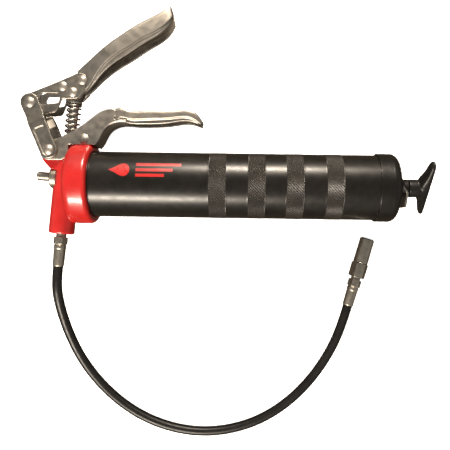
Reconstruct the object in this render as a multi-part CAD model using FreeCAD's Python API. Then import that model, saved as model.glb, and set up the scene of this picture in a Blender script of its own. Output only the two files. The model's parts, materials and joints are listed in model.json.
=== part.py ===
import FreeCAD, Part
import math
import os
from FreeCAD import Vector, Placement, Rotation

# Lever grease gun with a 14 oz barrel and an 18 inch whip hose, lying on its side.
# Millimetres. +X runs along the barrel towards the T-handle, +Y towards the levers, +Z up.
# Everything is drawn with the barrel axis at Y = 0, Z = 0 and the collar's open face at X = 0.
# export() then moves it to ROW_ORIGIN, the middle of the gun's footprint on the bench.

# ---------------------------------------------------------------- driving dimensions
COLLAR_R = 34.8
COLLAR_FRONT = -1.5
COLLAR_REAR = -22.5
COLLAR_DEPTH = 14.0
COLLAR_REAR_ROUND = 7.0
COLLAR_LIP_ROUND = 3.6
ROW_ORIGIN = Vector(113.7, 56.6, -COLLAR_R)

BARREL_R = 28.5
BARREL_WALL = 1.2
BARREL_END = 252.0
GASKET = 1.5
BAND_STARTS = (99.7, 133.0, 165.6, 199.4)
BAND_LENGTH = 14.8
BAND_RAISE = 0.25

CAP_START = 244.5
CAP_R = 29.9
CAP_FACE = 268.0
BOSS_R = 7.9
BOSS_END = 273.6

ROD_R = 3.95
ROD_FRONT = -13.3
ROD_END = 286.0
FOLLOWER_FRONT = -10.0
HANDLE_FACE = 292.6
HANDLE_HALF = 28.2
HANDLE_TURN = 44.0

PUMP_TILT = 5.0
PUMP_FOOT = -27.4
PUMP_R = 11.0
OUTLET_FACE = -44.3
PLUNGER_R = 4.0
PLUNGER_TIP = 8.5
GLAND_FACE = 33.0
SPRING_SEAT = 36.0
WASHER_FACE = 70.8

LINK_FOOT = Vector(-38.5, 27.8, 0)
LINK_HEAD = Vector(-56.3, 69.0, 0)
PLUNGER_PIN = Vector(-20.5, 79.0, 0)
LEVER_RIVETS = (Vector(-29.2, 84.0, 0), Vector(-12.3, 89.6, 0))
HANDLE_RIVET = Vector(-8.9, 37.9, 0)

LUG_HALF = 8.9
CHEEK_IN = 9.0
CHEEK_OUT = 12.0
TONGUE_IN = 4.9
TONGUE_OUT = 6.7
PLATE_IN = 6.8
PLATE_OUT = 8.6
LINK_IN = 12.3
LINK_OUT = 15.8
LINK_JOG = 3.4
LINK_HALF = 7.2
SHEET = 2.0
SKIRT_STEP = 2.2
RUNNING = 0.05

LOADER_HEIGHT = 4.4
LOADER_SEAT = 6.8
LOADER_DISC_R = 9.5
LOADER_DISC_END = 13.4
LOADER_STUB_R = 3.85
LOADER_END = 26.1

HOSE_R = 4.3
FITTING_HEX = 10.8
HEAD_NECK = 3.2
HEAD_HEX = 6.2
HEAD_FERRULE = 19.5
FLOOR = -COLLAR_R
HOSE_Z = FLOOR + HOSE_R

HANDLE_PIN_X = 278.5
ROD_LOCK_PIVOT = Vector(266.8, 2.2, 0)
COUPLER_HEX = 13.6
COUPLER_Z = FLOOR + COUPLER_HEX / 2
COUPLER_FOOT = Vector(227.6, -108.0, COUPLER_Z)
COUPLER_TIP = Vector(245.3, -45.4, COUPLER_Z)
COUPLER_R = 6.7

X_AXIS = Vector(1, 0, 0)
Y_AXIS = Vector(0, 1, 0)
Z_AXIS = Vector(0, 0, 1)

os.makedirs("parts", exist_ok=True)


# ---------------------------------------------------------------- helpers
def export(name, shape):
    """Write one node, moved from the drawing position to the row's origin."""
    moved = shape.copy()
    moved.translate(ROW_ORIGIN * -1)
    if not moved.isValid():
        print("INVALID", name)
    moved.exportStep("parts/" + name + ".step")


def point(x, y, z=0.0):
    return Vector(x, y, z)


def smooth(points, start=None, end=None):
    """One smooth edge through the points, with optional end directions."""
    curve = Part.BSplineCurve()
    if start is None:
        curve.interpolate(points)
    else:
        curve.interpolate(Points=points, InitialTangent=start, FinalTangent=end)
    return curve.toShape()


def line(a, b):
    return Part.LineSegment(a, b).toShape()


def arc(a, middle, b):
    return Part.Arc(a, middle, b).toShape()


def rounded(corners, radii):
    """A closed outline with each corner rounded by its own radius."""
    count = len(corners)
    edges = []
    joints = []
    for i in range(count):
        here = Vector(corners[i][0], corners[i][1], 0)
        before = (Vector(corners[i - 1][0], corners[i - 1][1], 0) - here).normalize()
        after = (Vector(corners[(i + 1) % count][0], corners[(i + 1) % count][1], 0) - here).normalize()
        half = before.getAngle(after) / 2
        cut = radii[i] / math.tan(half)
        bisector = (before + after).normalize()
        middle = here + bisector * (radii[i] / math.sin(half) - radii[i])
        joints.append((here + before * cut, middle, here + after * cut))
    for i in range(count):
        first, middle, last = joints[i]
        if radii[i] > 0:
            edges.append(arc(first, middle, last))
        following = joints[(i + 1) % count][0]
        if (following - last).Length > 1e-4:
            edges.append(line(last, following))
    return Part.Face(Part.Wire(edges))


def slab(face, low, high):
    """A flat face of the XY plane, made solid between two heights."""
    body = face.copy()
    body.translate(Vector(0, 0, low))
    return body.extrude(Vector(0, 0, high - low))


def pair(face, inner, outer):
    """The same plate twice, on the near and on the far side."""
    return [slab(face, inner, outer), slab(face, -outer, -inner)]


def turned(profile, position, direction):
    """Turn a profile of (distance along, radius) points into a solid about an axis."""
    corners = [Vector(p[1], 0, p[0]) for p in profile]
    face = Part.Face(Part.makePolygon(corners + [corners[0]]))
    solid = face.revolve(Vector(0, 0, 0), Z_AXIS, 360)
    return aimed(solid, position, direction)


def aimed(shape, position, direction):
    """Place a shape drawn along +Z so that it runs along direction from position."""
    out = shape.copy()
    out.Placement = Placement(position, Rotation(Z_AXIS, direction)).multiply(out.Placement)
    return out


def rod(radius, start, end):
    return Part.makeCylinder(radius, (end - start).Length, start, end - start)


def hexagon(flats, length, position, direction):
    """A hexagonal bar lying on one of its flats, its two ends chamfered as on a nut."""
    corner = flats / math.sqrt(3)
    bar = Part.makeCylinder(corner, length)
    flat = Part.makeBox(2 * corner, corner, length, Vector(-corner, flats / 2, 0))
    for i in range(6):
        side = flat.copy()
        side.rotate(Vector(0, 0, 0), Z_AXIS, 60 * i)
        bar = bar.cut(side)
    drop = (corner - flats / 2) * 0.9
    rise = drop * 0.6
    guard = [(0, 0), (0, corner - drop), (rise, corner),
             (length - rise, corner), (length, corner - drop), (length, 0)]
    corners = [Vector(g[1], 0, g[0]) for g in guard]
    turning = Part.Face(Part.makePolygon(corners + [corners[0]])).revolve(Vector(0, 0, 0), Z_AXIS, 360)
    bar = aimed(bar.common(turning), Vector(0, 0, 0), direction)
    lean = 0.0
    for face in bar.Faces:
        normal = face.normalAt(0, 0)
        if abs(normal.dot(direction)) < 0.01 and face.Surface.TypeId == "Part::GeomPlane":
            sideways = direction.cross(Z_AXIS).normalize()
            lean = math.degrees(math.atan2(normal.dot(sideways), normal.z))
            break
    bar.rotate(Vector(0, 0, 0), direction, -lean)
    bar.translate(position)
    return bar


def coil(radius, wire, pitch, turns, position, direction):
    """A helical wire spring that starts at position; its length is turns times pitch."""
    helix = Part.makeHelix(pitch, pitch * turns, radius)
    section = Part.Wire(Part.makeCircle(wire / 2, Vector(radius, 0, 0), Y_AXIS))
    spring = Part.Wire(helix).makePipeShell([section], True, True)
    return aimed(spring, position, direction)


def soften(shape, radius, wanted):
    """Round the edges whose middle passes the test; keep the sharp shape if that fails."""
    edges = []
    for edge in shape.Edges:
        middle = edge.valueAt((edge.FirstParameter + edge.LastParameter) / 2)
        if wanted(edge, middle):
            edges.append(edge)
    if not edges:
        return shape
    try:
        result = shape.makeFillet(radius, edges)
    except Exception:
        print("fillet failed", radius, len(edges))
        return shape
    if result.isValid() and result.Volume > 0.5 * shape.Volume:
        return result
    print("fillet invalid", radius, len(edges))
    return shape


def domed_pin(centre, radius, half_length, head_r, head_height):
    """A pin through both sides with a domed head on each end, its shank just the size of its hole."""
    shank = Part.makeCylinder(radius, 2 * half_length, centre - Vector(0, 0, half_length), Z_AXIS)
    ball_r = (head_r ** 2 + head_height ** 2) / (2 * head_height)
    domes = []
    for side in (1, -1):
        base = centre + Vector(0, 0, side * half_length)
        ball = Part.makeSphere(ball_r, base + Vector(0, 0, side * (head_height - ball_r)))
        keep = Part.makeCylinder(head_r, head_height, base, Vector(0, 0, side))
        domes.append(ball.common(keep))
    return shank.fuse(domes).removeSplitter()


def channel(stations, thickness):
    """A lofted trough with a stepped skirt. Each station is (crown, lip, half width, crown depth, skirt)."""
    wires = []
    for crown, lip, half, depth, skirt in stations:
        down = (lip - crown).normalize()
        height = (lip - crown).Length
        ridge = height - skirt

        def at(across, below):
            return crown + down * below + Vector(0, 0, across)

        inner = half - thickness
        waist = half - SKIRT_STEP
        narrow = waist - thickness
        inner_depth = depth + 0.15 * thickness
        top = smooth([at(-half, depth), at(-0.76 * half, 0.27 * depth), at(0, 0),
                      at(0.76 * half, 0.27 * depth),
                      at(half, depth)], down * -1, down)
        lid = smooth([at(inner, inner_depth), at(0.74 * inner, thickness + 0.24 * (inner_depth - thickness)),
                      at(0, thickness), at(-0.74 * inner, thickness + 0.24 * (inner_depth - thickness)),
                      at(-inner, inner_depth)], down * -1, down)
        right = [at(half, depth), at(half, ridge),
                 at(waist, ridge + 0.5), at(waist, height), at(narrow, height),
                 at(narrow, ridge - 0.9), at(inner, ridge - 1.4), at(inner, inner_depth)]
        left = [at(-inner, inner_depth), at(-inner, ridge - 1.4),
                at(-narrow, ridge - 0.9), at(-narrow, height),
                at(-waist, height), at(-waist, ridge + 0.5), at(-half, ridge), at(-half, depth)]
        edges = [top] + [line(a, b) for a, b in zip(right, right[1:])]
        edges += [lid] + [line(a, b) for a, b in zip(left, left[1:])]
        wires.append(Part.Wire(edges))
    return Part.makeLoft(wires, True, False)


# ---------------------------------------------------------------- pump axis
PUMP_UP = Vector(math.sin(math.radians(PUMP_TILT)), math.cos(math.radians(PUMP_TILT)), 0)
PUMP_OUT = Vector(-PUMP_UP.y, PUMP_UP.x, 0)
PUMP_DOWN = PUMP_UP * -1


def on_pump(height, out=0.0, z=0.0):
    """A point given by its height on the pump axis and its distance to the loader side."""
    return Vector(PUMP_FOOT, 0, 0) + PUMP_UP * height + PUMP_OUT * out + Vector(0, 0, z)


# ---------------------------------------------------------------- head casting
def collar():
    outer = rounded([(COLLAR_REAR, 0.01), (COLLAR_REAR, COLLAR_R),
                     (COLLAR_FRONT, COLLAR_R), (COLLAR_FRONT, 0.01)],
                    [0, COLLAR_REAR_ROUND, COLLAR_LIP_ROUND, 0])
    solid = outer.revolve(Vector(0, 0, 0), X_AXIS, 360)
    core = rod(1.0, Vector(COLLAR_REAR, 0, 0), Vector(COLLAR_FRONT, 0, 0))
    return solid.fuse(core)


def lug():
    outline = rounded([(-38.6, 12), (-46.2, 20.5), (-46.0, 31.5), (-41.5, 34.4), (-33.5, 33.9), (-15.6, 32.3),
                       (-15.6, 42.5), (-8.5, 46.0), (-2.0, 41.5), (-2.0, 14), (-16, 8)],
                      [0.5, 5, 4, 1, 0.4, 0.4, 2, 4, 4, 1, 1])
    return slab(outline, -LUG_HALF, LUG_HALF)


def head_casting():
    cylinder = rod(PUMP_R, on_pump(OUTLET_FACE), on_pump(22.0))
    cylinder = soften(cylinder, 1.4, lambda e, m: (m - on_pump(OUTLET_FACE)).dot(PUMP_UP) < 0.1
                      and e.Curve.TypeId == "Part::GeomCircle")
    mouth = Part.makeCylinder(BARREL_R + RUNNING, COLLAR_DEPTH, Vector(-COLLAR_DEPTH, 0, 0), X_AXIS)
    body = collar().fuse([cylinder, lug()]).removeSplitter().cut(mouth)
    body = body.cut(rod(PLUNGER_R + RUNNING, on_pump(-14.0), on_pump(40.0)))
    body = body.cut(rod(7.3, on_pump(27.0), on_pump(33.5)))
    body = body.cut(Part.makeCylinder(7.0, 40, on_pump(GLAND_FACE), PUMP_UP))
    body = body.cut(rod(2.0, on_pump(-17.5), on_pump(-13.0)))
    body = body.cut(rod(4.1, on_pump(-30.5), on_pump(-17.0)))
    body = body.cut(rod(4.45, on_pump(OUTLET_FACE - 1), on_pump(-30.0)))
    body = body.cut(Part.makeCylinder(3.5, 14, Vector(-27, 0, 0), X_AXIS))
    face = Part.makeCylinder(LOADER_DISC_R + 0.7, 12, on_pump(LOADER_HEIGHT, LOADER_SEAT), PUMP_OUT)
    body = body.cut(face)
    body = body.cut(Part.makeCylinder(4.1, 2.4, on_pump(LOADER_HEIGHT, LOADER_SEAT - 2.3), PUMP_OUT))
    for centre, radius in ((LINK_FOOT, 3.0), (HANDLE_RIVET, 2.5)):
        body = body.cut(Part.makeCylinder(radius, 60, centre - Vector(0, 0, 30), Z_AXIS))
    return body


HEAD = head_casting()
export("head_casting", HEAD)
export("head_gasket", Part.makeCylinder(BARREL_R - 0.3, GASKET, Vector(-COLLAR_DEPTH, 0, 0), X_AXIS).cut(
    Part.makeCylinder(BARREL_R - 2.4, GASKET, Vector(-COLLAR_DEPTH, 0, 0), X_AXIS)))
export("plunger_packing", turned([(0, PLUNGER_R + RUNNING), (0, 7.25), (4, 7.25), (4, PLUNGER_R + RUNNING)],
                                 on_pump(27.0), PUMP_UP))
export("packing_nut", turned([(31.0, PLUNGER_R + 0.1), (31.0, 7.2), (33.0, 7.2),
                              (33.0, 6.6), (SPRING_SEAT, 6.6),
                              (SPRING_SEAT, PLUNGER_R + 0.1)], on_pump(0), PUMP_UP))


# ---------------------------------------------------------------- fixed handle
def handle_web():
    """The finger side, from the collar up and round into the grip, as a bent strip."""
    outer = [point(-1.5, 31), point(2.1, 34), point(5.9, 41),
             point(10.2, 47.6), point(17, 51.6), point(27, 52.4)]
    inner = [point(27, 55.2), point(16, 54.6), point(8.2, 49.8),
             point(3.4, 42.6), point(-0.6, 36), point(-4.5, 33)]
    edges = [smooth(outer), line(outer[-1], inner[0]), smooth(inner), line(inner[-1], outer[0])]
    face = Part.Face(Part.Wire(edges))
    strip = slab(face, -CHEEK_OUT, CHEEK_OUT)
    return soften(strip, 2.2, lambda e, m: abs(abs(m.z) - CHEEK_OUT) < 0.01 and e.Length > 20
                  and m.y < 1.02 * m.x + 39.6)


def handle_grip():
    rows = [((19, 51.9), (16.5, 64.6), 12.0, 4.6, 2.8), ((30, 52.2), (29.0, 64.2), 12.0, 4.6, 3.8),
            ((44, 51.8), (43.8, 63.8), 12.0, 4.4, 4.2), ((58, 52.4), (58.6, 64.0), 12.0, 4.4, 4.2),
            ((70, 54.0), (70.8, 64.6), 12.0, 4.2, 3.8), ((80, 54.9), (81.6, 65.2), 12.0, 4.2, 3.2),
            ((87.4, 53.3), (88.4, 61.6), 11.2, 3.6, 1.8), ((91.6, 51.4), (92.7, 55.6), 9.0, 1.6, 0.6)]
    stations = [(point(*crown), point(*lip), half, depth, skirt) for lip, crown, half, depth, skirt in rows]
    return channel(stations, 2.4)


def fixed_handle():
    crown = [point(-46.2, 28.0), point(-41.0, 34.8), point(-32.5, 38.2), point(-12, 49.0), point(-2.8, 56.0),
             point(4.2, 61.2), point(10, 63.6), point(17, 64.0)]
    below = [point(17, 54.5), point(9.6, 50.6), point(4.6, 43.4), point(0.5, 36), point(-3.0, 32.6)]
    edges = [smooth(crown), line(crown[-1], below[0]), smooth(below), line(below[-1], point(-28.5, 19.6)),
             line(point(-28.5, 19.6), point(-40.5, 19.6)),
             arc(point(-40.5, 19.6), point(-45.6, 22.4), point(-46.2, 28.0))]
    cheeks = pair(Part.Face(Part.Wire(edges)), CHEEK_IN, CHEEK_OUT)
    clear = rod(COLLAR_R + 0.15, Vector(COLLAR_REAR - 0.2, 0, 0), Vector(0, 0, 0))
    barrel_pump = rod(PUMP_R + 0.2, on_pump(0.0), on_pump(22.5))
    body = handle_grip().fuse(handle_web().cut(clear))
    for cheek in cheeks:
        body = body.fuse(cheek.cut(clear).cut(barrel_pump))
    for centre, radius in ((LINK_FOOT, 3.0), (HANDLE_RIVET, 2.5)):
        body = body.cut(Part.makeCylinder(radius, 60, centre - Vector(0, 0, 30), Z_AXIS))
    return body.cut(HEAD)


export("fixed_handle", fixed_handle())
export("handle_rivet", domed_pin(HANDLE_RIVET, 2.5, CHEEK_OUT, 4.6, 1.8))
export("link_foot_pin", domed_pin(LINK_FOOT, 3.0, LINK_OUT - 0.8, 4.7, 2.2))


# ---------------------------------------------------------------- squeeze lever
def lever_grip():
    rows = [((-17.0, 98.6), (-13.0, 77.5), 7.4, 3.2, 1.4), ((-9.0, 105.4), (-4.2, 84.8), 8.8, 3.8, 2.0),
            ((-1.0, 112.0), (6.2, 96.4), 11.8, 4.6, 3.8), ((8.0, 119.4), (17.2, 105.2), 13.4, 5.0, 4.8),
            ((22.0, 129.6), (31.4, 114.4), 13.6, 5.0, 5.0), ((36.0, 138.8), (45.0, 123.4), 13.6, 5.0, 4.6),
            ((48.0, 145.0), (56.0, 130.6), 13.6, 5.0, 3.4), ((57.0, 150.2), (62.6, 137.4), 13.4, 4.6, 2.0),
            ((63.2, 157.2), (66.4, 144.0), 11.8, 4.4, 1.2)]
    stations = [(point(*crown), point(*lip), half, depth, skirt) for crown, lip, half, depth, skirt in rows]
    return channel(stations, SHEET)


def cheek_outline():
    return rounded([(-64.0, 60.8), (-50.0, 59.2), (-34.2, 61.2), (-29.6, 73.0), (-16.0, 73.4), (-9.6, 80.0),
                    (-8.6, 94.5), (-15.2, 96.2), (-30.3, 89.2), (-42.7, 84.0), (-56.0, 78.6), (-65.0, 74.5)],
                   [5, 6, 5, 1.5, 5, 4, 2.5, 3, 8, 8, 6, 6])


def lever_handle():
    tongue = rounded([(-14.5, 74.2), (-28.0, 74.0), (-35.0, 78.5),
                      (-35.0, 86.0), (-29.0, 89.8), (-13.5, 96.5),
                      (-9.0, 95.0), (-9.0, 82.0)], [3, 3, 3, 3, 2, 2, 2, 3])
    body = lever_grip()
    for wall in pair(tongue, TONGUE_IN, TONGUE_OUT):
        body = body.fuse(wall)
    spots = [(PLUNGER_PIN, 3.0)] + [(rivet, 2.5) for rivet in LEVER_RIVETS]
    for centre, radius in spots:
        body = body.cut(Part.makeCylinder(radius, 60, centre - Vector(0, 0, 30), Z_AXIS))
    for room in pair(cheek_outline(), PLATE_IN, 20):
        body = body.cut(room)
    return body


def lever_cheek(side):
    """A stamped hub plate with a window, its outer edges rounded."""
    outline = cheek_outline()
    window = rounded([(-50.5, 67.6), (-32.4, 69.6), (-31.0, 77.8), (-47.2, 78.0)], [2.5, 2.2, 2.0, 2.5])
    plate = slab(outline, PLATE_IN, PLATE_OUT).cut(slab(window, 0, 20))
    for centre, radius in [(PLUNGER_PIN, 3.0), (LINK_HEAD, 3.05)] + [(rivet, 2.5) for rivet in LEVER_RIVETS]:
        plate = plate.cut(Part.makeCylinder(radius, 60, centre - Vector(0, 0, 30), Z_AXIS))
    plate = soften(plate, 0.7, lambda e, m: abs(m.z - PLATE_OUT) < 0.01 and not (
        e.Curve.TypeId == "Part::GeomCircle" and e.Curve.Radius in (3.0, 3.05, 2.5)))
    if side < 0:
        plate = plate.mirror(Vector(0, 0, 0), Z_AXIS)
    return plate


export("lever_handle", lever_handle())
export("lever_cheek_near", lever_cheek(1))
export("lever_cheek_far", lever_cheek(-1))
RIVETS = Part.makeCompound([domed_pin(rivet, 2.5, PLATE_OUT, 4.3, 1.7) for rivet in LEVER_RIVETS])
export("lever_rivets", RIVETS)
export("plunger_pin", domed_pin(PLUNGER_PIN, 3.0, PLATE_OUT, 4.4, 1.8))


# ---------------------------------------------------------------- links
def link(side):
    length = (LINK_HEAD - LINK_FOOT).Length
    outline = rounded([(-LINK_HALF, -LINK_HALF), (length + LINK_HALF + 0.6, -LINK_HALF - 0.6),
                       (length + LINK_HALF + 0.6, LINK_HALF + 0.6), (-LINK_HALF, LINK_HALF)], [6.6, 7.4, 7.4, 6.6])
    plan = slab(outline, 0, 30)
    side_view = rounded([(-12, LINK_IN), (24, LINK_IN), (31, LINK_IN - LINK_JOG), (60, LINK_IN - LINK_JOG),
                         (60, LINK_OUT - LINK_JOG), (34, LINK_OUT - LINK_JOG), (27, LINK_OUT), (-12, LINK_OUT)],
                        [0, 3, 3, 0, 0, 3, 3, 0])
    profile = slab(side_view, -15, 15)
    profile.rotate(Vector(0, 0, 0), X_AXIS, 90)
    bar = plan.common(profile)
    panel = rounded([(-4.6, -5.0), (21, -5.0), (21, 5.0), (-4.6, 5.0)], [4.6, 2, 2, 4.6])
    bar = bar.cut(slab(panel, LINK_OUT - 0.8, LINK_OUT + 5))
    bar = bar.cut(Part.makeCylinder(3.0, 60, Vector(length, 0, -10), Z_AXIS))
    bar = bar.cut(Part.makeCylinder(3.0 + RUNNING, 60, Vector(0, 0, -10), Z_AXIS))
    if side < 0:
        bar = bar.mirror(Vector(0, 0, 0), Z_AXIS)
    run = LINK_HEAD - LINK_FOOT
    bar.rotate(Vector(0, 0, 0), Z_AXIS, math.degrees(math.atan2(run.y, run.x)))
    bar.translate(LINK_FOOT)
    return bar


export("link_near", link(1))
export("link_far", link(-1))
export("link_head_pin", domed_pin(LINK_HEAD, 3.0, LINK_OUT - LINK_JOG, 4.7, 2.0))


# ---------------------------------------------------------------- plunger
def plunger():
    stem = rod(PLUNGER_R, on_pump(PLUNGER_TIP), on_pump(76.0))
    pin_height = (PLUNGER_PIN - on_pump(0)).dot(PUMP_UP)
    eye = Part.makeCylinder(5.9, 8.6, on_pump(pin_height) - Vector(0, 0, 4.3), Z_AXIS)
    neck = Part.makeBox(8.4, pin_height - WASHER_FACE - 1.5, 8.6)
    neck.translate(Vector(-4.2, 0, -4.3))
    neck.rotate(Vector(0, 0, 0), Z_AXIS, -PUMP_TILT)
    neck.translate(on_pump(WASHER_FACE + 1.5))
    slot_r = 3.3
    slot = Part.makeBox(1.5, 2 * slot_r, 20)
    slot.translate(Vector(-0.75, -slot_r, -10))
    slot.rotate(Vector(0, 0, 0), Z_AXIS, -PUMP_TILT)
    slot.translate(on_pump(pin_height))
    body = stem.fuse([eye, neck]).removeSplitter().cut(slot)
    for shift in (-0.75, 0.75):
        body = body.cut(Part.makeCylinder(slot_r, 20, on_pump(pin_height, shift) - Vector(0, 0, 10), Z_AXIS))
    return body


export("plunger", plunger())
export("spring_washer", turned([(WASHER_FACE, PLUNGER_R), (WASHER_FACE, 6.6), (WASHER_FACE + 1.4, 6.6),
                                (WASHER_FACE + 1.4, PLUNGER_R)], on_pump(0), PUMP_UP))
PLUNGER_TURNS = 8.5
PLUNGER_WIRE = 1.7
SPRING_SPAN = WASHER_FACE - SPRING_SEAT - PLUNGER_WIRE - 0.1
export("plunger_spring", coil(5.65, PLUNGER_WIRE, SPRING_SPAN / PLUNGER_TURNS, PLUNGER_TURNS,
                              on_pump(SPRING_SEAT + PLUNGER_WIRE / 2 + 0.05), PUMP_UP))

# ---------------------------------------------------------------- outlet and loader valves
OUTLET_BALL = -19.3
export("outlet_ball", Part.makeSphere(3.0, on_pump(OUTLET_BALL)))
export("outlet_spring", coil(2.6, 0.5, 1.6, 5, on_pump(-30.6), PUMP_UP))

LOADER_BALL = 11.0


def loader_body():
    profile = [(4.7, 1.2), (4.7, 4.05), (LOADER_SEAT, 4.05), (LOADER_SEAT, LOADER_DISC_R - 1.0),
               (LOADER_SEAT + 1.0, LOADER_DISC_R), (LOADER_DISC_END - 1.0, LOADER_DISC_R),
               (LOADER_DISC_END, LOADER_DISC_R - 1.0), (LOADER_DISC_END, LOADER_STUB_R),
               (LOADER_END - 1.2, LOADER_STUB_R), (LOADER_END, LOADER_STUB_R - 1.2), (LOADER_END, 1.6), (12.6, 1.6),
               (12.6, 2.6), (5.7, 2.6), (5.7, 1.2)]
    return turned(profile, on_pump(LOADER_HEIGHT), PUMP_OUT)


export("loader_body", loader_body())
export("loader_ball", Part.makeSphere(2.2, on_pump(LOADER_HEIGHT, LOADER_BALL)))
export("loader_spring", coil(1.6, 0.4, 1.28, 2, on_pump(LOADER_HEIGHT, 5.95), PUMP_OUT))


# ---------------------------------------------------------------- barrel, cap and rod lock
def barrel_tube():
    start = -COLLAR_DEPTH + GASKET
    body = Part.makeCylinder(BARREL_R, BARREL_END - start, Vector(start, 0, 0), X_AXIS)
    for band in BAND_STARTS:
        body = body.fuse(Part.makeCylinder(BARREL_R + BAND_RAISE, BAND_LENGTH, Vector(band, 0, 0), X_AXIS))
    return body.cut(Part.makeCylinder(BARREL_R - BARREL_WALL, 300, Vector(start, 0, 0), X_AXIS))


def lock_outline(grow):
    """Side view of the bent lock plate, thickened by grow on every side."""
    half = 0.75 + grow
    path = [ROD_LOCK_PIVOT, point(271.7, -4.6), point(269.9, -17.0)]
    first = (path[1] - path[0]).normalize()
    last = (path[2] - path[1]).normalize()
    left = Vector(-first.y, first.x, 0)
    low = Vector(-last.y, last.x, 0)
    bend = (left + low).normalize() * (half / math.cos(left.getAngle(low) / 2))
    start = path[0] - first * grow
    end = path[2] + last * grow
    corners = [start + left * half, path[1] + bend, end + low * half, end - low * half, path[1] - bend,
               start - left * half]
    return Part.Face(Part.makePolygon(corners + [corners[0]]))


def end_cap():
    bore = ROD_R + 0.1
    inside = BARREL_R + 0.05
    edges = [line(point(CAP_START, inside), point(CAP_START, CAP_R - 0.5)),
             arc(point(CAP_START, CAP_R - 0.5), point(CAP_START + 0.15, CAP_R - 0.15), point(CAP_START + 0.5, CAP_R)),
             line(point(CAP_START + 0.5, CAP_R), point(255.0, CAP_R)),
             arc(point(255.0, CAP_R), point(260.3, 28.4), point(262.8, 24.4)),
             arc(point(262.8, 24.4), point(265.3, 16.9), point(CAP_FACE, 9.6)),
             arc(point(CAP_FACE, 9.6), point(CAP_FACE + 0.7, 8.4), point(CAP_FACE + 2.0, BOSS_R)),
             line(point(CAP_FACE + 2.0, BOSS_R), point(BOSS_END - 0.6, BOSS_R)),
             line(point(BOSS_END - 0.6, BOSS_R), point(BOSS_END, BOSS_R - 0.6)),
             line(point(BOSS_END, BOSS_R - 0.6), point(BOSS_END, bore)),
             line(point(BOSS_END, bore), point(CAP_FACE - 2.2, bore)),
             line(point(CAP_FACE - 2.2, bore), point(CAP_FACE - 2.2, 9.0)),
             arc(point(CAP_FACE - 2.2, 9.0), point(263.2, 16.0), point(260.9, 22.8)),
             arc(point(260.9, 22.8), point(258.0, 26.6), point(254.0, inside)),
             line(point(254.0, inside), point(CAP_START, inside))]
    solid = Part.Face(Part.Wire(edges)).revolve(Vector(0, 0, 0), X_AXIS, 360)
    swing = lock_outline(0.45)
    swept = swing.copy()
    swept.rotate(ROD_LOCK_PIVOT, Z_AXIS, -6.0)
    middle = swing.copy()
    middle.rotate(ROD_LOCK_PIVOT, Z_AXIS, -3.0)
    for face in (swing, middle, swept):
        solid = solid.cut(slab(face, -9.6, 9.6))
    return solid


def rod_lock_plate():
    plate = slab(lock_outline(0.0), -9.0, 9.0)
    fork = Part.makeBox(12, 14, 2 * (ROD_R + 0.45), Vector(262, -5.8, -ROD_R - 0.45))
    return plate.cut(fork)


export("barrel_tube", barrel_tube())
export("end_cap", end_cap())
export("rod_lock_plate", rod_lock_plate())


# ---------------------------------------------------------------- follower, rod and T-handle
def follower_cup():
    outer = BARREL_R - BARREL_WALL - 0.06
    front = FOLLOWER_FRONT
    profile = [(front, ROD_R + 0.06), (front, outer - 1.5), (front + 1.5, outer), (front + 13, outer),
               (front + 13, outer - 1.6), (front + 3, outer - 2.6), (front + 3, ROD_R + 0.06)]
    return turned(profile, Vector(0, 0, 0), X_AXIS)


def follower_plate():
    back = FOLLOWER_FRONT + 3
    profile = [(back, ROD_R + 0.06), (back, 22.0), (back + 1.5, 22.0), (back + 1.5, ROD_R + 0.06)]
    return turned(profile, Vector(0, 0, 0), X_AXIS)


FOLLOWER_SPRING_START = FOLLOWER_FRONT + 4.5
FOLLOWER_SPRING_END = CAP_FACE - 5.4
FOLLOWER_COIL_R = 15.5
FOLLOWER_TURNS = 17
FOLLOWER_WIRE = 2.2
export("follower_cup", follower_cup())
export("follower_plate", follower_plate())
FOLLOWER_SPAN = FOLLOWER_SPRING_END - FOLLOWER_SPRING_START - FOLLOWER_WIRE - 0.2
export("follower_spring", coil(FOLLOWER_COIL_R, FOLLOWER_WIRE, FOLLOWER_SPAN / FOLLOWER_TURNS, FOLLOWER_TURNS,
                               Vector(FOLLOWER_SPRING_START + FOLLOWER_WIRE / 2 + 0.1, 0, 0), X_AXIS))
export("follower_nut", hexagon(13.0, 2.7, Vector(-13.0, 0, 0), X_AXIS).cut(
    Part.makeCylinder(ROD_R, 10, Vector(-15, 0, 0), X_AXIS)))


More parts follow.
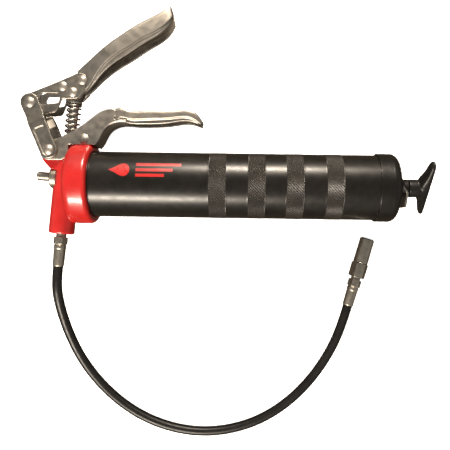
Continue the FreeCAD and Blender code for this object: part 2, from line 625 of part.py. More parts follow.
def t_handle():
    half = [point(BOSS_END + 0.5, 7.9), point(282.4, 7.9), point(286.0, 12.6), point(288.9, 23.0),
            point(290.4, HANDLE_HALF), point(HANDLE_FACE, 25.6), point(HANDLE_FACE, 0)]
    upper = [line(point(BOSS_END + 0.5, 0), half[0]), line(half[0], half[1]), smooth([half[1], half[2], half[3]]),
             arc(half[3], half[4], half[5]), line(half[5], half[6])]
    lower = []
    for edge in upper:
        lower.append(edge.mirror(Vector(0, 0, 0), Y_AXIS))
    plan = slab(Part.Face(Part.Wire(Part.__sortEdges__(upper + lower))), -20, 20)
    width = rounded([(-HANDLE_HALF - 1, -3.2), (-9, -7.9), (9, -7.9), (HANDLE_HALF + 1, -3.2), (HANDLE_HALF + 1, 3.2),
                     (9, 7.9), (-9, 7.9), (-HANDLE_HALF - 1, 3.2)], [1, 4, 4, 1, 1, 4, 4, 1])
    side_view = slab(width, 270, 300)
    side_view.Placement = Placement(Vector(0, 0, 0), Rotation(Vector(0, 1, 0), Vector(0, 0, 1), Vector(1, 0, 0), "ZXY"))
    body = plan.common(side_view)
    neck = Part.makeCylinder(7.9, 9, Vector(BOSS_END + 0.5, 0, 0), X_AXIS)
    corner = Part.makeBox(8.5, 30, 30, Vector(BOSS_END - 0.5, -15, -15))
    body = body.cut(corner).fuse(neck).removeSplitter()
    body = body.cut(Part.makeCylinder(ROD_R, 60, Vector(ROD_END - 60, 0, 0), X_AXIS))
    body = body.cut(Part.makeCylinder(1.5, 60, Vector(HANDLE_PIN_X, 0, -30), Z_AXIS))
    body.rotate(Vector(0, 0, 0), X_AXIS, HANDLE_TURN)
    return body


def follower_rod():
    body = Part.makeCylinder(ROD_R, ROD_END - ROD_FRONT, Vector(ROD_FRONT, 0, 0), X_AXIS)
    pin = Part.makeCylinder(1.5, 60, Vector(HANDLE_PIN_X, 0, -30), Z_AXIS)
    pin.rotate(Vector(0, 0, 0), X_AXIS, HANDLE_TURN)
    return body.cut(pin)


export("t_handle", t_handle())
export("follower_rod", follower_rod())
PIN = Part.makeCylinder(1.5, 14.6, Vector(HANDLE_PIN_X, 0, -7.3), Z_AXIS)
PIN.rotate(Vector(0, 0, 0), X_AXIS, HANDLE_TURN)
export("handle_pin", PIN)


# ---------------------------------------------------------------- hose
def hose_fitting(root, direction, spigot, neck, flats, hexed, stem):
    """A crimp adapter: threaded spigot, neck, hex and a short shoulder into the ferrule."""
    bar = turned([(-spigot, 1.6), (-spigot, 4.4), (0, 4.4), (neck, 4.2), (neck + hexed + stem, 4.2),
                  (neck + hexed + stem, 1.6)], root, direction)
    nut = hexagon(flats, hexed, root + direction * neck, direction)
    return bar.fuse(nut).cut(rod(1.6, root - direction * (spigot + 1), root + direction * (neck + hexed + 9)))


def ferrule(start, direction, length):
    """A crimped sleeve: full at the hex, waisted, then slightly tapered to the hose."""
    profile = [(0, 4.3), (0, 4.7), (1.2, 5.25), (3.4, 5.3), (4.6, 4.95), (6.0, 5.1), (length - 1.0, 4.85),
               (length, 4.6), (length, 4.3)]
    inner = [(length, 0.5), (2.4, 0.5), (2.4, 4.25), (0, 4.25)]
    return turned(profile[1:-1] + inner, start, direction)


HEX_START = OUTLET_FACE - HEAD_NECK
HEAD_HEX_END = HEX_START - HEAD_HEX
HOSE_START = HEAD_HEX_END - HEAD_FERRULE
COUPLER_WAY = (COUPLER_TIP - COUPLER_FOOT).normalize()


def on_coupler(along, out=0.0):
    return COUPLER_FOOT + COUPLER_WAY * along + Vector(0, 0, out)


export("hose_fitting_head", hose_fitting(on_pump(OUTLET_FACE), PUMP_DOWN, 13.4, HEAD_NECK, FITTING_HEX, HEAD_HEX, 2.3))
export("ferrule_head", ferrule(on_pump(HEAD_HEX_END), PUMP_DOWN, HEAD_FERRULE))

# The hose leaves the ferrule level, comes down to the bench and lies there in one wide loop.
HOSE_ROUTE = [
    on_pump(HOSE_START),
    on_pump(HOSE_START - 15.1),
    point(-34.6, -104.6, -5.0),
    point(-30.4, -129.4, -14.3),
    point(-21.5, -156.4, -23.6),
    point(-6.5, -180.6, -29.2),
    point(13.9, -200.6, HOSE_Z),
    point(37.9, -215.9, HOSE_Z),
    point(64.9, -225.7, HOSE_Z),
    point(93.6, -229.4, HOSE_Z),
    point(122.3, -226.0, HOSE_Z),
    point(149.3, -216.2, HOSE_Z),
    point(173.1, -200.4, HOSE_Z),
    point(193.1, -180.3, HOSE_Z),
    point(209.2, -156.9, HOSE_Z + 0.9),
    on_coupler(-24.0),
    on_coupler(0.0),
]


def hose_path(points):
    """Straight runs joined by tangent arcs, each arc as large as its two runs allow."""
    edges = []
    radii = []
    last = points[0]
    for i in range(1, len(points) - 1):
        back = points[i - 1] - points[i]
        ahead = points[i + 1] - points[i]
        turn = math.pi - back.getAngle(ahead)
        cut = 0.45 * min(back.Length, ahead.Length)
        radii.append(cut / math.tan(turn / 2))
        first = points[i] + back.normalize() * cut
        following = points[i] + ahead.normalize() * cut
        inward = (back + ahead).normalize()
        middle = points[i] + inward * (radii[-1] / math.cos(turn / 2) - radii[-1])
        edges.append(line(last, first))
        edges.append(arc(first, middle, following))
        last = following
    edges.append(line(last, points[-1]))
    print("hose radii", [round(r) for r in radii])
    return Part.Wire(edges)


def hose():
    path = hose_path(HOSE_ROUTE)
    start = HOSE_ROUTE[1] - HOSE_ROUTE[0]
    section = Part.Wire(Part.makeCircle(HOSE_R, HOSE_ROUTE[0], start))
    tube = path.makePipeShell([section], True, False)
    print("hose length", round(path.Length, 1), "volume share", round(
        tube.Volume / (path.Length * math.pi * HOSE_R ** 2), 4))
    return tube


export("hose", hose())

# ---------------------------------------------------------------- coupler
FERRULE_LENGTH = 18.5
SMALL_HEX_END = 25.0
BODY_START = 27.6
BODY_HEX_END = 41.0
SLEEVE_END = (COUPLER_TIP - COUPLER_FOOT).Length
BACK = COUPLER_WAY * -1

export("ferrule_coupler", ferrule(on_coupler(FERRULE_LENGTH), BACK, FERRULE_LENGTH))
export("hose_fitting_coupler", hose_fitting(on_coupler(BODY_START), BACK, 5.4, BODY_START - SMALL_HEX_END, FITTING_HEX,
                                            SMALL_HEX_END - FERRULE_LENGTH, 2.3))


def coupler_body():
    body = hexagon(COUPLER_HEX, BODY_HEX_END - BODY_START, on_coupler(BODY_START), COUPLER_WAY)
    body = body.fuse(rod(5.2, on_coupler(BODY_HEX_END - 1), on_coupler(46.0)))
    body = body.cut(rod(4.45, on_coupler(BODY_START - 1), on_coupler(33.05)))
    body = body.cut(rod(1.5, on_coupler(33.0), on_coupler(36.2)))
    body = body.cut(rod(2.5, on_coupler(36.0), on_coupler(44.0)))
    return body.cut(rod(1.4, on_coupler(44.0), on_coupler(47.0)))


def coupler_sleeve():
    profile = [(BODY_HEX_END, 5.25), (BODY_HEX_END, COUPLER_R - 0.4), (BODY_HEX_END + 0.4, COUPLER_R),
               (SLEEVE_END - 1.2, COUPLER_R), (SLEEVE_END, COUPLER_R - 1.2), (SLEEVE_END, 3.6),
               (SLEEVE_END - 1.2, 3.6), (SLEEVE_END - 2.6, 5.25)]
    return turned(profile, on_coupler(0), COUPLER_WAY)


def coupler_jaws():
    profile = [(52.0, 3.35), (52.0, 5.15), (61.0, 5.15), (62.3, 3.85), (62.3, 3.35)]
    ring = turned(profile, on_coupler(0), COUPLER_WAY)
    for turn in (0, 90):
        slit = Part.makeBox(0.8, 20, 20, Vector(-0.4, -10, 0))
        slit.rotate(Vector(0, 0, 0), Z_AXIS, turn)
        ring = ring.cut(aimed(slit, on_coupler(48.0), COUPLER_WAY))
    return Part.makeCompound(ring.Solids)


export("coupler_body", coupler_body())
export("coupler_sleeve", coupler_sleeve())
export("coupler_jaws", coupler_jaws())
export("coupler_seal", turned([(50.0, 1.4), (50.0, 5.15), (51.9, 5.15), (51.9, 1.4)], on_coupler(0), COUPLER_WAY))
export("coupler_spring", coil(2.6, 0.5, 1.6, 2, on_coupler(46.4), COUPLER_WAY))
export("coupler_ball", Part.makeSphere(2.1, on_coupler(37.6)))
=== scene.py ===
import json
import math

import bmesh
import bpy
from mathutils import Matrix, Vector


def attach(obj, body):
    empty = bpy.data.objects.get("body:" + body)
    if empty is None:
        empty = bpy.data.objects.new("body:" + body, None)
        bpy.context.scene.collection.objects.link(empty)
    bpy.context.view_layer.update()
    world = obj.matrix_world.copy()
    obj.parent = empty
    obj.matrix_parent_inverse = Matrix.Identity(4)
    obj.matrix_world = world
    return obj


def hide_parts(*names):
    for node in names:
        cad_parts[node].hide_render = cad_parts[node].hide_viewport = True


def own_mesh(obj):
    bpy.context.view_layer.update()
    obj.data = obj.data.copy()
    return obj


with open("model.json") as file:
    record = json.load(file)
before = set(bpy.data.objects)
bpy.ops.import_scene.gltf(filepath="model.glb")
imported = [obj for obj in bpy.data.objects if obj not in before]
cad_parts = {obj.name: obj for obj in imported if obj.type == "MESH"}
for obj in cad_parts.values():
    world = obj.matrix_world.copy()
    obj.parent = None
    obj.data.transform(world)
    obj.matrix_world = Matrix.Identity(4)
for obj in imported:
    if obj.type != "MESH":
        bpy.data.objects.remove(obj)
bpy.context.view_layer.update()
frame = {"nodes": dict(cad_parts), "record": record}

# ---------------------------------------------------------------- places, in metres
MM = 0.001
ROW_ORIGIN = Vector((113.7, 56.6, -34.8))      # where the row's origin is, seen from the barrel axis
PUMP_TILT = math.radians(5.0)
PUMP_UP = Vector((math.sin(PUMP_TILT), math.cos(PUMP_TILT), 0))
PUMP_OUT = Vector((-PUMP_UP.y, PUMP_UP.x, 0))
PUMP_FOOT = Vector((-27.4, 0, 0))              # where the pump axis meets the barrel axis
X_AXIS = Vector((1, 0, 0))


def place(x, y, z=0.0):
    """A point given in millimetres from the barrel axis and the collar's open face."""
    return (Vector((x, y, z)) - ROW_ORIGIN) * MM


def on_pump(height, out=0.0):
    """A point by its height on the pump axis and its distance towards the loader."""
    return place(*(PUMP_FOOT + PUMP_UP * height + PUMP_OUT * out))


COUPLER_FOOT = Vector((227.6, -108.0, -28.0))
COUPLER_WAY = Vector((0.27208, 0.96228, 0))


def on_coupler(along):
    """A point by its distance along the coupler from its hose end."""
    return place(*(COUPLER_FOOT + COUPLER_WAY * along))


# ---------------------------------------------------------------- camera
CAMERA_HEIGHT = 0.48
CAMERA_ABOVE = (135.3, -34.3)
CAMERA_TURN = 0.8
HALF_VIEW = 0.1989
FRAME_SHIFT = -0.0556
camera_data = bpy.data.cameras.new("camera")
camera_data.angle = 2 * math.atan(HALF_VIEW / CAMERA_HEIGHT)
camera_data.shift_x = FRAME_SHIFT
camera = bpy.data.objects.new("camera", camera_data)
camera.location = place(*CAMERA_ABOVE) + Vector((0, 0, CAMERA_HEIGHT))
camera.rotation_euler = (0, 0, math.radians(CAMERA_TURN))
bpy.context.collection.objects.link(camera)
bpy.context.scene.camera = camera

# ---------------------------------------------------------------- the hose
HOSE_R = 4.3 * MM
BENCH = -30.5
HOSE_ROUTE = [
    on_pump(-73.2),
    on_pump(-88.3),
    place(-34.6, -104.6, -5.0),
    place(-30.4, -129.4, -14.3),
    place(-21.5, -156.4, -23.6),
    place(-6.5, -180.6, -29.2),
    place(13.9, -200.6, BENCH),
    place(37.9, -215.9, BENCH),
    place(64.9, -225.7, BENCH),
    place(93.6, -229.4, BENCH),
    place(122.3, -226.0, BENCH),
    place(149.3, -216.2, BENCH),
    place(173.1, -200.4, BENCH),
    place(193.1, -180.3, BENCH),
    place(209.2, -156.9, BENCH + 0.9),
    on_coupler(-24.0),
    on_coupler(0.0),
]


def tube(name, route, radius):
    """A round NURBS curve with these control points."""
    data = bpy.data.curves.new(name, "CURVE")
    data.dimensions = "3D"
    data.bevel_depth = 1.0      # the points' own radius scales it, and keeps the curve's box tight
    data.bevel_resolution = 8
    data.resolution_u = 12
    data.use_fill_caps = True
    spline = data.splines.new("NURBS")
    spline.points.add(len(route) - 1)
    for control, spot in zip(spline.points, route):
        control.co = (*spot, 1.0)
        control.radius = radius
    spline.order_u = 3
    spline.use_endpoint_u = True
    spline.use_smooth = True
    obj = bpy.data.objects.new(name, data)
    bpy.context.collection.objects.link(obj)
    return obj


hose = tube("hose_tube", HOSE_ROUTE, HOSE_R)
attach(hose, "head")
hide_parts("hose")


# ---------------------------------------------------------------- materials
EDGE_HIGHLIGHT_SPREAD = 1.6                               # how far the painted edge highlight reaches, in edge radii


def nodes_of(name):
    """A new material, its node tree and its main shader."""
    made = bpy.data.materials.new(name)
    made.use_nodes = True
    tree = made.node_tree
    shader = tree.nodes["Principled BSDF"]
    return made, tree, shader


def add(tree, kind, inputs=None, **settings):
    """Add a node with these socket values and properties."""
    node = tree.nodes.new(kind)
    for key, value in settings.items():
        setattr(node, key, value)
    for key, value in (inputs or {}).items():
        node.inputs[key].default_value = value
    return node


def noise(tree, scale, detail=4.0, roughness=0.6):
    """Noise in the object's own metres, so it stays with the piece."""
    spot = add(tree, "ShaderNodeTexCoord")
    texture = add(tree, "ShaderNodeTexNoise", {"Scale": scale, "Detail": detail, "Roughness": roughness})
    tree.links.new(spot.outputs["Object"], texture.inputs["Vector"])
    return texture.outputs["Fac"]


def spread(tree, source, low, high, start=0.3, end=0.7):
    """Turn a 0..1 signal into the range low..high."""
    node = add(tree, "ShaderNodeMapRange",
               {"From Min": start, "From Max": end, "To Min": low, "To Max": high})
    tree.links.new(source, node.inputs["Value"])
    return node.outputs["Result"]


def tint(tree, source, dark, light, start=0.3, end=0.7):
    """Turn a 0..1 signal into a colour between dark and light."""
    ramp = add(tree, "ShaderNodeValToRGB")
    ramp.color_ramp.elements[0].position = start
    ramp.color_ramp.elements[0].color = (*dark, 1)
    ramp.color_ramp.elements[1].position = end
    ramp.color_ramp.elements[1].color = (*light, 1)
    tree.links.new(source, ramp.inputs["Fac"])
    return ramp.outputs["Color"]


def edge_mask(tree, radius):
    """1 on the sharp edges of a piece and 0 on its flat faces."""
    soft = add(tree, "ShaderNodeBevel", {"Radius": radius}, samples=4)
    geometry = add(tree, "ShaderNodeNewGeometry")
    product = add(tree, "ShaderNodeVectorMath", operation="DOT_PRODUCT")
    tree.links.new(soft.outputs["Normal"], product.inputs[0])
    tree.links.new(geometry.outputs["Normal"], product.inputs[1])
    return spread(tree, product.outputs["Value"], 1.0, 0.0, 0.80, 0.995)


def relief(tree, shader, layers, edge):
    """Stack bumps of (signal, height) on a softened edge."""
    normal = add(tree, "ShaderNodeBevel", {"Radius": edge}, samples=4).outputs["Normal"]
    for signal, height in layers:
        bump = add(tree, "ShaderNodeBump", {"Strength": 1.0, "Distance": height})
        tree.links.new(signal, bump.inputs["Height"])
        tree.links.new(normal, bump.inputs["Normal"])
        normal = bump.outputs["Normal"]
    tree.links.new(normal, shader.inputs["Normal"])


def finish(name, dark, light, rough, metallic, patch, grain, edge, edge_highlight=None, coat=0.0, coat_rough=0.1,
           specular=0.5):
    """A surface with patches of colour, grain in its relief, varied roughness and a painted highlight on its
    sharp edges.
    """
    made, tree, shader = nodes_of(name)
    patches = noise(tree, patch[0], 6.0)
    colour = tint(tree, patches, dark, light)
    # a lighter colour on the sharp edges: a painted highlight
    if edge_highlight:
        mix = add(tree, "ShaderNodeMix", data_type="RGBA")
        mix.inputs[7].default_value = (*edge_highlight, 1)
        tree.links.new(edge_mask(tree, edge * EDGE_HIGHLIGHT_SPREAD), mix.inputs[0])
        tree.links.new(colour, mix.inputs[6])
        colour = mix.outputs[2]
    tree.links.new(colour, shader.inputs["Base Color"])
    tree.links.new(spread(tree, noise(tree, patch[1], 5.0), *rough), shader.inputs["Roughness"])
    shader.inputs["Metallic"].default_value = metallic
    shader.inputs["Coat Weight"].default_value = coat
    shader.inputs["Coat Roughness"].default_value = coat_rough
    shader.inputs["Specular IOR Level"].default_value = specular
    layers = [(noise(tree, size, 3.0, 0.5), height) for size, height in grain]
    relief(tree, shader, layers, edge)
    return made


RED = finish("red_paint", (0.34, 0.009, 0.008), (0.44, 0.014, 0.012), (0.26, 0.38), 0.0, (60, 140),
             [(900, 0.00002), (140, 0.00010)], 0.0008, coat=0.25, coat_rough=0.15)
BLACK = finish("black_paint", (0.0045, 0.0040, 0.0035), (0.0085, 0.0075, 0.0062), (0.28, 0.36), 0.0,
               (40, 160), [(2600, 0.000008)], 0.0004, specular=0.33)
KNURL = finish("black_knurl", (0.009, 0.008, 0.007), (0.023, 0.019, 0.015), (0.30, 0.42), 0.0, (120, 400),
               [(2200, 0.00002)], 0.0001, specular=0.5)
# the last colour given to each of these metals is a painted highlight on its edges
CAST = finish("cast_handles", (0.30, 0.275, 0.24), (0.43, 0.40, 0.355), (0.34, 0.50), 1.0, (45, 190),
              [(420, 0.00005), (1600, 0.00002)], 0.0008, edge_highlight=(0.74, 0.71, 0.66))
STAMPED = finish("stamped_steel", (0.20, 0.185, 0.16), (0.33, 0.31, 0.275), (0.34, 0.50), 1.0, (60, 260),
                 [(700, 0.00004), (2000, 0.00001)], 0.0006, edge_highlight=(0.66, 0.63, 0.58))
PINS = finish("steel_pins", (0.28, 0.26, 0.235), (0.42, 0.395, 0.36), (0.42, 0.56), 1.0, (150, 400),
              [(1500, 0.00002)], 0.0005, edge_highlight=(0.62, 0.60, 0.56))
SPRING = finish("spring_steel", (0.24, 0.225, 0.20), (0.40, 0.38, 0.35), (0.28, 0.40), 1.0, (200, 500),
                [(2400, 0.00001)], 0.0002)
PLATED = finish("plated_fittings", (0.33, 0.30, 0.245), (0.47, 0.435, 0.375), (0.30, 0.44), 1.0, (160, 420),
                [(1300, 0.000015)], 0.0004, edge_highlight=(0.74, 0.71, 0.65))
RUBBER = finish("hose_rubber", (0.005, 0.005, 0.005), (0.010, 0.0095, 0.009), (0.30, 0.42), 0.0, (80, 240),
                [(1400, 0.00001), (260, 0.00001)], 0.0003, specular=0.22)
SEAL = finish("seal_rubber", (0.016, 0.016, 0.016), (0.03, 0.03, 0.03), (0.5, 0.7), 0.0, (200, 500),
              [(1500, 0.00002)], 0.0003)
MOULDED = finish("handle_black", (0.005, 0.005, 0.005), (0.010, 0.0095, 0.009), (0.30, 0.44), 0.0, (120, 300),
                 [(1100, 0.00003), (3000, 0.000012)], 0.0010, specular=0.25)
FINISHES = {"red_paint": RED, "black_paint": BLACK, "cast_handles": CAST, "stamped_steel": STAMPED,
            "steel_pins": PINS, "spring_steel": SPRING, "plated_fittings": PLATED, "hose_rubber": RUBBER,
            "seal_rubber": SEAL, "handle_black": MOULDED}
SLOT_OF = {part["node"]: part["material_slot"] for part in frame["record"]["subparts"]}


def paint(obj, slot):
    obj.data.materials.clear()
    obj.data.materials.append(FINISHES[slot])


for node_name, node in frame["nodes"].items():
    paint(node, SLOT_OF[node_name])
paint(hose, "hose_rubber")

# ---------------------------------------------------------------- pieces that replace CAD nodes
def piece(name, vertices, faces, body, slot, nodes):
    """A smooth-shaded mesh that rides on a body and stands for CAD nodes."""
    data = bpy.data.meshes.new(name)
    data.from_pydata([tuple(v) for v in vertices], [], faces)
    data.validate()
    cleaner = bmesh.new()
    cleaner.from_mesh(data)
    bmesh.ops.recalc_face_normals(cleaner, faces=cleaner.faces)
    cleaner.to_mesh(data)
    cleaner.free()
    for face in data.polygons:
        face.use_smooth = True
    obj = bpy.data.objects.new(name, data)
    bpy.context.collection.objects.link(obj)
    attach(obj, body)
    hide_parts(*nodes)
    paint(obj, slot)
    return obj


def stitched(rings, closed):
    """Quads between rings of equal size; closed joins the last ring to the first."""
    size = len(rings[0])
    faces = []
    for i in range(len(rings) - (0 if closed else 1)):
        a = i * size
        b = (i + 1) % len(rings) * size
        for k in range(size):
            m = (k + 1) % size
            faces.append((a + k, a + m, b + m, b + k))
    return [v for ring in rings for v in ring], faces


def capped(rings):
    """A closed skin through rings, with a flat face at each end."""
    vertices, faces = stitched(rings, False)
    size = len(rings[0])
    faces.append(tuple(range(size)))
    faces.append(tuple(range(len(vertices) - size, len(vertices))))
    return vertices, faces


def frame_about(direction):
    """A direction and two more at right angles to it."""
    direction = direction.normalized()
    side = direction.orthogonal().normalized()
    return direction, side, direction.cross(side)


SPRING_STEPS = 28
WIRE_SIDES = 10


def coil(name, start, direction, length, radius, wire, turns, body):
    """A drawn-wire spring with a closed turn at each end."""
    direction, side, other = frame_about(direction)
    run = length - 2 * wire
    steps = int(turns * SPRING_STEPS)
    rings = []
    for i in range(steps + 1):
        turn = turns * i / steps
        lead = min(turn, 1.0) * wire * 0.9 + max(0.0, turn - turns + 1.0) * wire * 0.9
        active = min(max(turn - 1.0, 0.0), turns - 2.0) / (turns - 2.0)
        along = wire / 2 + lead + active * (run - wire * 0.8)
        angle = 2 * math.pi * turn
        outward = side * math.cos(angle) + other * math.sin(angle)
        centre = start + direction * along + outward * radius
        rings.append([centre + (outward * math.cos(a) + direction * math.sin(a)) * wire / 2
                      for a in (2 * math.pi * k / WIRE_SIDES for k in range(WIRE_SIDES))])
    vertices, faces = capped(rings)
    obj = piece(name, vertices, faces, body, "spring_steel", [name.replace("_wire", "")])
    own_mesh(obj)


PLUNGER_SPRING_AT = on_pump(36.0)
OUTLET_SPRING_AT = on_pump(-30.85)
LOADER_SPRING_AT = on_pump(4.4, 5.75)
COUPLER_SPRING_AT = on_coupler(46.15)
coil("plunger_spring_wire", PLUNGER_SPRING_AT, PUMP_UP, 34.8 * MM, 5.65 * MM, 1.7 * MM, 8.5, "head")
coil("follower_spring_wire", place(-5.5, 0), X_AXIS, 268.1 * MM, 15.5 * MM, 2.2 * MM, 17, "barrel")
coil("outlet_spring_wire", OUTLET_SPRING_AT, PUMP_UP, 8.5 * MM, 2.6 * MM, 0.5 * MM, 5, "head")
coil("loader_spring_wire", LOADER_SPRING_AT, PUMP_OUT, 2.95 * MM, 1.6 * MM, 0.4 * MM, 3.5, "head")
coil("coupler_spring_wire", COUPLER_SPRING_AT, COUPLER_WAY, 3.7 * MM, 2.6 * MM, 0.5 * MM, 3.5, "head")

# ---------------------------------------------------------------- the knurled barrel
BARREL_R = 28.5
BARREL_WALL = 1.2
BARREL_SPAN = (-12.5, 252.0)
BANDS = (99.7, 133.0, 165.6, 199.4)
BAND_LENGTH = 14.8
BAND_RAISE = 0.25
KNURL_DEPTH = 0.5
KNURLS_AROUND = 72
KNURLS_ALONG = 6
SAMPLES = 4
RIM = 0.3                                       # chamfer at the tube's ends
SUPPORT = 1.0                                   # from a rim or band to the ring that keeps the shading even
BAND_FOOT = 0.35                                # from a band to the foot of its slope
BAND_EDGE_RAISE = 0.08
ROW_START = place(0, 0).x


def tooth(s):
    """A triangle wave from 1 to 0 and back."""
    return abs(2 * (s % 1.0) - 1)


def barrel():
    """The tube with four knurled bands, each of them diamonds cut into a raised ring."""
    around = KNURLS_AROUND * SAMPLES
    along = KNURLS_ALONG * SAMPLES
    first, last = BARREL_SPAN
    profile = [(first, BARREL_R - RIM, None), (first + RIM, BARREL_R, None),
               (first + SUPPORT, BARREL_R, None)]
    for start in BANDS:
        end = start + BAND_LENGTH
        profile += [(start - SUPPORT, BARREL_R, None), (start - BAND_FOOT, BARREL_R, None)]
        for k in range(along + 1):
            edge = k in (0, along)
            raised = BAND_EDGE_RAISE if edge else BAND_RAISE
            spot = start + BAND_LENGTH * k / along
            profile.append((spot, BARREL_R + raised, None if edge else k / SAMPLES))
        profile += [(end + BAND_FOOT, BARREL_R, None), (end + SUPPORT, BARREL_R, None)]
    profile += [(last - SUPPORT, BARREL_R, None), (last - RIM, BARREL_R, None), (last, BARREL_R - RIM, None),
                (last, BARREL_R - BARREL_WALL, None), (first, BARREL_R - BARREL_WALL, None)]
    rings = []
    for x, radius, v in profile:
        ring = []
        for k in range(around):
            angle = 2 * math.pi * k / around
            r = radius
            if v is not None:
                u = k / SAMPLES
                r -= KNURL_DEPTH * (1 - min(tooth(u + v), tooth(u - v)))
            ring.append(place(x, r * math.cos(angle), r * math.sin(angle)))
        rings.append(ring)
    vertices, faces = stitched(rings, True)
    obj = piece("barrel_shell", vertices, faces, "barrel", "black_paint", ["barrel_tube"])
    obj.data.materials.append(KNURL)
    starts = [ROW_START + band * MM for band in BANDS]
    for face in obj.data.polygons:
        if any(start < face.center.x < start + BAND_LENGTH * MM for start in starts):
            face.use_smooth = False
            face.material_index = 1


barrel()

# ---------------------------------------------------------------- a generic printed mark on the barrel
MARK_CENTRE = (48.0, 10.5)
MARK_LIFT = 0.06
MARK_LAYERS = 6


def on_barrel(along, across):
    """A point just over the top of the barrel, by millimetres along it and across it."""
    return place(along, across, math.sqrt((BARREL_R + MARK_LIFT) ** 2 - across ** 2))


def printed(name, outline):
    """A thin red patch with this outline of (along, across) millimetres, laid on the barrel."""
    middle = (sum(p[0] for p in outline) / len(outline), sum(p[1] for p in outline) / len(outline))
    rings = []
    for k in range(1, MARK_LAYERS + 1):
        ring = []
        for x, y in outline:
            along = MARK_CENTRE[0] + middle[0] + (x - middle[0]) * k / MARK_LAYERS
            across = MARK_CENTRE[1] + middle[1] + (y - middle[1]) * k / MARK_LAYERS
            ring.append(on_barrel(along, across))
        rings.append(ring)
    vertices, faces = stitched(rings, False)
    vertices.append(on_barrel(MARK_CENTRE[0] + middle[0], MARK_CENTRE[1] + middle[1]))
    size = len(outline)
    faces += [(k, (k + 1) % size, len(vertices) - 1) for k in range(size)]
    piece(name, vertices, faces, "barrel", "red_paint", [])


DROP_R = 5.8
DROP_TIP = 12.0
DROP_STEPS = 36
DROP_AT = -20.0


def drop_outline(cx):
    """A plain drop lying along the barrel, its tip towards the head."""
    points = []
    for k in range(DROP_STEPS):
        angle = math.pi * (k / DROP_STEPS * 2 - 1)
        reach = DROP_R + (DROP_TIP - DROP_R) * max(0.0, abs(angle) / math.pi * 2 - 1) ** 3
        slim = min(1.0, 1.12 - abs(angle) / 9)
        points.append((cx + math.cos(angle) * reach, math.sin(angle) * DROP_R * slim))
    return points


printed("mark_drop", drop_outline(DROP_AT))
STRIPE_START = -9.0
STRIPE_HEIGHT = 2.6
for index, (low, reach) in enumerate(((3.4, 38.0), (-1.2, 31.0), (-5.8, 24.0))):
    spots = [STRIPE_START + reach * share for share in (0, 0.33, 0.66, 1)]
    printed("mark_stripe_%d" % index,
            [(x, low) for x in spots] + [(x, low + STRIPE_HEIGHT) for x in spots[::-1]])

# ---------------------------------------------------------------- castings and mouldings with soft edges
def cast(name, node, body, slot, voxel, passes, share, shape=None):
    """A skin over one CAD node, or over a shape given for it, with its edges and corners rounded."""
    rough = bpy.data.meshes.new(name + "_rough")
    joiner = bmesh.new()
    if shape:
        for vertices, faces in shape:
            block = bpy.data.meshes.new(name + "_block")
            block.from_pydata([tuple(v) for v in vertices], [], faces)
            joiner.from_mesh(block)
        bmesh.ops.recalc_face_normals(joiner, faces=joiner.faces)
    else:
        joiner.from_mesh(frame["nodes"][node].data)
        bmesh.ops.remove_doubles(joiner, verts=joiner.verts, dist=1e-6)
    joiner.to_mesh(rough)
    joiner.free()
    helper = bpy.data.objects.new(name + "_rough", rough)
    bpy.context.collection.objects.link(helper)
    remesh = helper.modifiers.new("remesh", "REMESH")
    remesh.mode = "VOXEL"
    remesh.voxel_size = voxel * MM
    smoothing = helper.modifiers.new("smooth", "SMOOTH")
    smoothing.factor = 0.5
    smoothing.iterations = passes
    thin = helper.modifiers.new("thin", "DECIMATE")
    thin.ratio = share
    bpy.context.view_layer.update()
    data = bpy.data.meshes.new_from_object(helper.evaluated_get(bpy.context.evaluated_depsgraph_get()))
    bpy.data.objects.remove(helper)
    data.name = name
    for face in data.polygons:
        face.use_smooth = True
    obj = bpy.data.objects.new(name, data)
    bpy.context.collection.objects.link(obj)
    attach(obj, body)
    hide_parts(node)
    paint(obj, slot)
    return obj


def ream(obj, radius, low, high):
    """Open a skin round the pump axis to this radius between two heights, so that the plunger runs free."""
    middle = on_pump(low)
    for vertex in obj.data.vertices:
        along = (vertex.co - middle).dot(PUMP_UP)
        outward = vertex.co - middle - PUMP_UP * along
        if 0 <= along <= (high - low) * MM and outward.length < radius:
            vertex.co += outward.normalized() * (radius - outward.length)


PLUNGER_BORE_R = 4.35 * MM
BORE_SPAN = (-13.9, 40.0)                       # heights on the pump axis
ream(cast("pump_head", "head_casting", "head", "red_paint", 0.55, 6, 0.35), PLUNGER_BORE_R, *BORE_SPAN)
cast("fixed_handle_casting", "fixed_handle", "head", "cast_handles", 0.42, 5, 0.35)
cast("lever_handle_casting", "lever_handle", "lever", "cast_handles", 0.42, 4, 0.35)
cast("lever_cheek_near_stamping", "lever_cheek_near", "lever", "stamped_steel", 0.3, 3, 0.35)
cast("lever_cheek_far_stamping", "lever_cheek_far", "lever", "stamped_steel", 0.3, 3, 0.35)
cast("link_near_stamping", "link_near", "links", "stamped_steel", 0.3, 4, 0.35)
cast("link_far_stamping", "link_far", "links", "stamped_steel", 0.3, 4, 0.35)

# ---------------------------------------------------------------- T-handle
HANDLE_TURN = math.radians(44.0)
HANDLE_HALF = 28.8
HANDLE_SIDES = 32
HANDLE_STATIONS = 33
NECK_R = 7.9
NECK_SIDES = 48
NECK_PROFILE = ((274.1, 7.5), (274.5, NECK_R), (287.0, NECK_R))
HANDLE_BACK = 292.6
TIP_START = 0.86                                # share of an arm where its tip begins to round off
TIP_SHARE = 0.14
TIP_CUT = 0.86                                  # how far the section has shrunk at the very tip, squared
ARM_TAPER = 3.6
ARM_FRONT = [(0.0, 282.0), (8.0, 282.2), (11.0, 283.8), (16.0, 285.8), (23.0, 287.4), (28.8, 288.6)]


def between(table, t):
    """Read a table of (position, value) rows with straight runs between them."""
    for (a, low), (b, high) in zip(table, table[1:]):
        if t <= b:
            return low + (high - low) * (t - a) / (b - a)
    return table[-1][1]


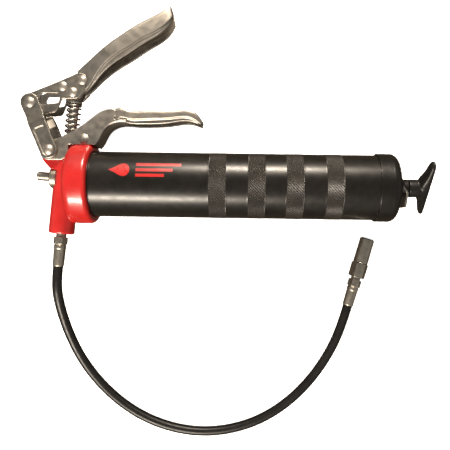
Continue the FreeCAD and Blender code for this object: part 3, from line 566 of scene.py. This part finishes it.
def t_handle():
    """Two arms that taper to round tips, and the neck that they stand on."""
    along = (math.cos(HANDLE_TURN), math.sin(HANDLE_TURN))
    across = (-along[1], along[0])
    rings = []
    for i in range(HANDLE_STATIONS):
        t = -HANDLE_HALF + 2 * HANDLE_HALF * i / (HANDLE_STATIONS - 1)
        share = abs(t) / HANDLE_HALF
        tip = math.sqrt(max(0.0, 1 - max(0.0, share - TIP_START) ** 2 / TIP_SHARE ** 2 * TIP_CUT))
        front = between(ARM_FRONT, abs(t))
        middle = (front + HANDLE_BACK) / 2 + 0.3 * share
        thick = (HANDLE_BACK - front) / 2 * tip
        wide = (NECK_R - ARM_TAPER * share ** 1.3) * tip
        ring = []
        for k in range(HANDLE_SIDES):
            angle = 2 * math.pi * k / HANDLE_SIDES
            c, s = math.cos(angle), math.sin(angle)
            x = middle + thick * math.copysign(abs(c) ** 0.7, c)
            w = wide * math.copysign(abs(s) ** 0.8, s)
            ring.append(place(x, along[0] * t + across[0] * w, along[1] * t + across[1] * w))
        rings.append(ring)
    neck = []
    for x, radius in NECK_PROFILE:
        neck.append([place(x, radius * math.cos(angle), radius * math.sin(angle))
                     for angle in (2 * math.pi * k / NECK_SIDES for k in range(NECK_SIDES))])
    cast("t_handle_moulding", "t_handle", "rod", "handle_black", 0.35, 10, 0.3, [capped(rings), capped(neck)])


t_handle()

# ---------------------------------------------------------------- floor and light
FLOOR_SIZE = 60
FLOOR_DROP = 0.0001
FLOOR_GLOW = 0.9
bpy.ops.mesh.primitive_plane_add(size=FLOOR_SIZE, location=(0, 0, -FLOOR_DROP))
floor = bpy.context.object
floor.name = "floor"
floor_material, floor_tree, floor_shader = nodes_of("floor")
floor_tree.links.new(tint(floor_tree, noise(floor_tree, 3.0), (0.93, 0.93, 0.93), (0.95, 0.95, 0.95)),
                     floor_shader.inputs["Base Color"])
floor_shader.inputs["Roughness"].default_value = 0.9
floor_shader.inputs["Emission Color"].default_value = (1.0, 1.0, 1.0, 1)
floor_shader.inputs["Emission Strength"].default_value = FLOOR_GLOW
floor.data.materials.append(floor_material)
floor.visible_glossy = False
floor.visible_diffuse = False


def softbox(name, spot, target, width, depth, power, colour):
    """A rectangular lamp at a spot, turned towards a target."""
    data = bpy.data.lights.new(name, "AREA")
    data.shape = "RECTANGLE"
    data.size = width
    data.size_y = depth
    data.energy = power
    data.color = colour
    lamp = bpy.data.objects.new(name, data)
    lamp.location = spot
    lamp.rotation_euler = (Vector(target) - Vector(spot)).to_track_quat("-Z", "Y").to_euler()
    bpy.context.collection.objects.link(lamp)


BELOW = (0.14, 0.11, 0.08)
HORIZON = (0.62, 0.58, 0.53)
ZENITH = (0.24, 0.24, 0.24)
BELOW_END = 0.42                                # heights in the sky, 0 straight down and 1 straight up
HORIZON_AT = 0.57
ZENITH_START = 0.97
SKY_STRENGTH = 0.8
softbox("lower_strip", (-0.30, -0.88, 0.67), (-0.08, -0.06, 0.03), 0.44, 0.17, 23, (1.0, 0.88, 0.74))
softbox("upper_strip", (0.05, 0.84, 0.58), (0.03, -0.06, 0.03), 0.28, 0.15, 22, (1.0, 0.87, 0.72))
world = bpy.data.worlds.new("world")
world.use_nodes = True
sky = world.node_tree
direction = add(sky, "ShaderNodeTexCoord")
parts = add(sky, "ShaderNodeSeparateXYZ")
sky.links.new(direction.outputs["Generated"], parts.inputs["Vector"])
height = add(sky, "ShaderNodeMapRange", {"From Min": -1.0, "From Max": 1.0})
sky.links.new(parts.outputs["Z"], height.inputs["Value"])
ramp = add(sky, "ShaderNodeValToRGB")
sky.links.new(height.outputs["Result"], ramp.inputs["Fac"])
stops = ramp.color_ramp.elements
stops[0].position, stops[0].color = BELOW_END, (*BELOW, 1)
stops[1].position, stops[1].color = ZENITH_START, (*ZENITH, 1)
stops.new(HORIZON_AT).color = (*HORIZON, 1)
sky.links.new(ramp.outputs["Color"], sky.nodes["Background"].inputs["Color"])
sky.nodes["Background"].inputs["Strength"].default_value = SKY_STRENGTH
bpy.context.scene.world = world
bpy.context.scene.view_settings.view_transform = "Standard"
